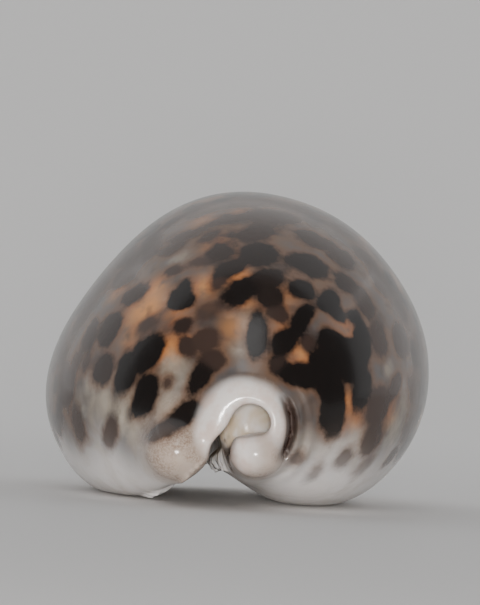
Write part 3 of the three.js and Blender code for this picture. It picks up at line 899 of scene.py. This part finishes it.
def shell_enamel():
    """Polished enamel with clouds and spots, a white base and plain rims."""
    n = Nodes("shell_enamel")
    place = n.node("ShaderNodeTexCoord").outputs["Object"]
    broad = n.noise(place, 16, detail=2)
    cloud = n.noise(place, 7, distortion=0.6)
    fine = n.noise(place, 1.6, detail=4)
    grain = n.noise(place, 0.35, detail=2)
    white, pale, warm = n.attribute("white"), n.attribute("pale"), n.attribute("warm")

    # The ground: cream and blue-grey clouds, orange-tan where it is warm, and blurred spots deep in it
    ground = n.mix(n.step(0.36, 0.64, cloud), BLUE_GREY, GREY_BROWN)
    uneven = n.math("MULTIPLY", n.math("SUBTRACT", fine, 0.5), 0.5)
    cream = n.math("MULTIPLY", n.math("ADD", pale, uneven, clamp=True), n.step(0.02, 0.3, pale))
    ground = n.mix(cream, ground, CREAM)
    ground = n.mix(n.math("MULTIPLY", n.step(0.50, 0.66, broad), 0.35), ground, BLUE_GREY)
    ground = n.mix(n.math("MULTIPLY", warm, n.step(0.25, 0.55, n.noise(place, 5)), clamp=True), ground, TAN)
    deep = n.step(0.50, 0.64, n.noise(place, 6.2, detail=2, distortion=0.3))
    deep = n.math("MULTIPLY", deep, n.math("SUBTRACT", 0.5, n.math("MULTIPLY", pale, 0.4)))
    ground = n.mix(deep, ground, DEEP_BROWN)
    ground = n.mix(white, ground, n.mix(n.math("MULTIPLY", n.step(0.42, 0.7, cloud), 0.3), WHITE, CREAM))

    # The speckled tips of the lips
    speckle = n.step(0.36, 0.66, n.noise(place, 0.4, roughness=0.7))
    streak = n.step(0.36, 0.6, n.noise(place, 4.5, detail=2))
    tips = n.mix(n.math("MULTIPLY", speckle, streak), TIP_PALE, TIP_BROWN)
    ground = n.mix(n.math("MULTIPLY", n.attribute("tips"), 0.85), ground, tips)

    # Spots with soft uneven edges and an orange-brown halo
    edge = n.noise(place, 2.0, detail=5, roughness=0.65)
    edge = n.math("MULTIPLY", n.math("SUBTRACT", edge, 0.5), 1.35)
    spot = n.math("ADD", n.attribute("spot"), edge)
    tone = n.attribute("tone")
    fade = n.math("SUBTRACT", 1.0, n.math("MULTIPLY", white, 0.55))
    outside = n.math("MULTIPLY", n.attribute("outside"), fade)
    halo = n.math("MULTIPLY", n.step(1.3, 0.1, spot), n.math("MULTIPLY", outside, 0.72))
    brown = n.mix(n.math("MULTIPLY", warm, 0.8), HALO, WARM_HALO)
    brown = n.mix(n.step(0.45, 0.7, n.noise(place, 6, detail=2)), brown, DEEP_BROWN)
    colour = n.mix(halo, ground, brown)
    soft = n.step(0.5, -0.25, spot)
    core = n.mix(n.step(0.72, 0.98, tone), SPOT_BROWN, BLACK_BROWN)
    shown = n.math("MULTIPLY", soft, n.math("MULTIPLY", outside, n.step(0.05, 0.75, tone)))
    colour = n.mix(shown, colour, core)

    # Inside, canal rims, and painted shade darkening the crease
    colour = n.mix(n.attribute("inside"), colour, n.mix(n.step(0.35, 0.65, cloud), INSIDE, WHITE))
    rim = n.mix(n.step(0.35, 0.62, n.noise(place, 3.5)), RIM_PINK, RIM_EDGE)
    colour = n.mix(n.attribute("rim"), colour, rim)
    colour = n.mix(n.attribute("crease"), colour, CREASE_SHADE)
    n.put(n.shader.inputs["Base Color"], colour)

    # Polished enamel: a little uneven, with fine pits
    n.put(n.shader.inputs["Roughness"], n.math("ADD", 0.13, n.math("MULTIPLY", fine, 0.14)))
    height = n.math("ADD", n.math("MULTIPLY", fine, 0.6), n.math("MULTIPLY", grain, 0.25))
    bump = n.node("ShaderNodeBump", Strength=0.28, Distance=0.12 * MM, Height=height)
    n.put(n.shader.inputs["Normal"], bump.outputs["Normal"])
    for name, value in (("IOR", 1.49), ("Coat Weight", 0.1), ("Coat Roughness", 0.05), ("Coat IOR", 1.5),
                        ("Subsurface Weight", 0.08), ("Subsurface Scale", 0.002)):
        n.shader.inputs[name].default_value = value
    n.shader.inputs["Subsurface Radius"].default_value = (1.0, 0.6, 0.4)
    return n.material


def make_shell():
    """The shell with its markings as values at its points."""
    points, faces, normals = shell_mesh()
    made = new_mesh_object("cowrie_shell", points, faces)
    made.data.shade_smooth()
    made.data.normals_split_custom_set_from_vertices(normals.tolist())
    for name, values in paint(points, faces, normals).items():
        layer = made.data.attributes.new(name, "FLOAT", "POINT")
        layer.data.foreach_set("value", values.astype(np.float32))
    made.data.materials.append(shell_enamel())
    return made


def light(name, place, aim, size, power, colour=(1, 1, 1)):
    """A flat lamp that faces the point aim, with its width and height, all in metres and watts."""
    data = bpy.data.lights.new(name, "AREA")
    data.shape = "RECTANGLE"
    data.size, data.size_y = size
    data.energy = power
    data.color = colour
    made = bpy.data.objects.new(name, data)
    bpy.context.scene.collection.objects.link(made)
    made.location = place
    made.rotation_mode = "QUATERNION"
    made.rotation_quaternion = (Vector(aim) - Vector(place)).to_track_quat("-Z", "Y")


def make_lights():
    """Large soft lamps that show in the polish, and a dim sky."""
    middle = (0, 0, HEIGHT * MM / 2)
    light("top", (0, 0.48, 0.60), (0, 0.48, 0), (1.4, 1.04), 2.7)
    light("left", (-0.64, 0.50, 0.29), (0, 0.50, 0.20), (0.98, 0.56), 0.95)
    light("right", (0.64, 0.50, 0.29), (0, 0.50, 0.20), (0.98, 0.56), 0.95)
    light("front", (0.0, -0.62, 0.70), middle, (0.34, 0.40), 0.8)
    light("low front", (-0.01, -0.66, 0.022), middle, (0.08, 0.08), 4.7, (1, 0.97, 0.94))
    world = bpy.data.worlds.new("studio")
    world.use_nodes = True
    world.node_tree.nodes["Background"].inputs["Color"].default_value = (0.8, 0.82, 0.85, 1)
    world.node_tree.nodes["Background"].inputs["Strength"].default_value = 0.2
    bpy.context.scene.world = world


def make_backdrop():
    """A pale floor that curves up behind the shell."""
    half_width, flat_to, radius, top, front, steps = 1.6, 0.55, 0.45, 1.6, -1.2, 16
    profile = [(front, 0.0), (flat_to, 0.0)]
    for i in range(1, steps + 1):
        turn = math.pi / 2 * i / steps
        profile.append((flat_to + radius * math.sin(turn), radius * (1 - math.cos(turn))))
    profile.append((flat_to + radius, top))
    count = len(profile)
    corners = [(side * half_width, y, z) for side in (-1, 1) for y, z in profile]
    sheets = [(i, count + i, count + i + 1, i + 1) for i in range(count - 1)]
    mesh = bpy.data.meshes.new("floor")
    mesh.from_pydata(corners, [], sheets)
    mesh.shade_smooth()
    floor = bpy.data.objects.new("floor", mesh)
    bpy.context.scene.collection.objects.link(floor)
    paper = bpy.data.materials.new("paper")
    paper.use_nodes = True
    shader = paper.node_tree.nodes["Principled BSDF"]
    shader.inputs["Base Color"].default_value = (0.80, 0.79, 0.78, 1)
    shader.inputs["Roughness"].default_value = 0.6
    mesh.materials.append(paper)


shell = make_shell()
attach(shell, "root")
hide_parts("shell")
make_camera()
make_lights()
make_backdrop()
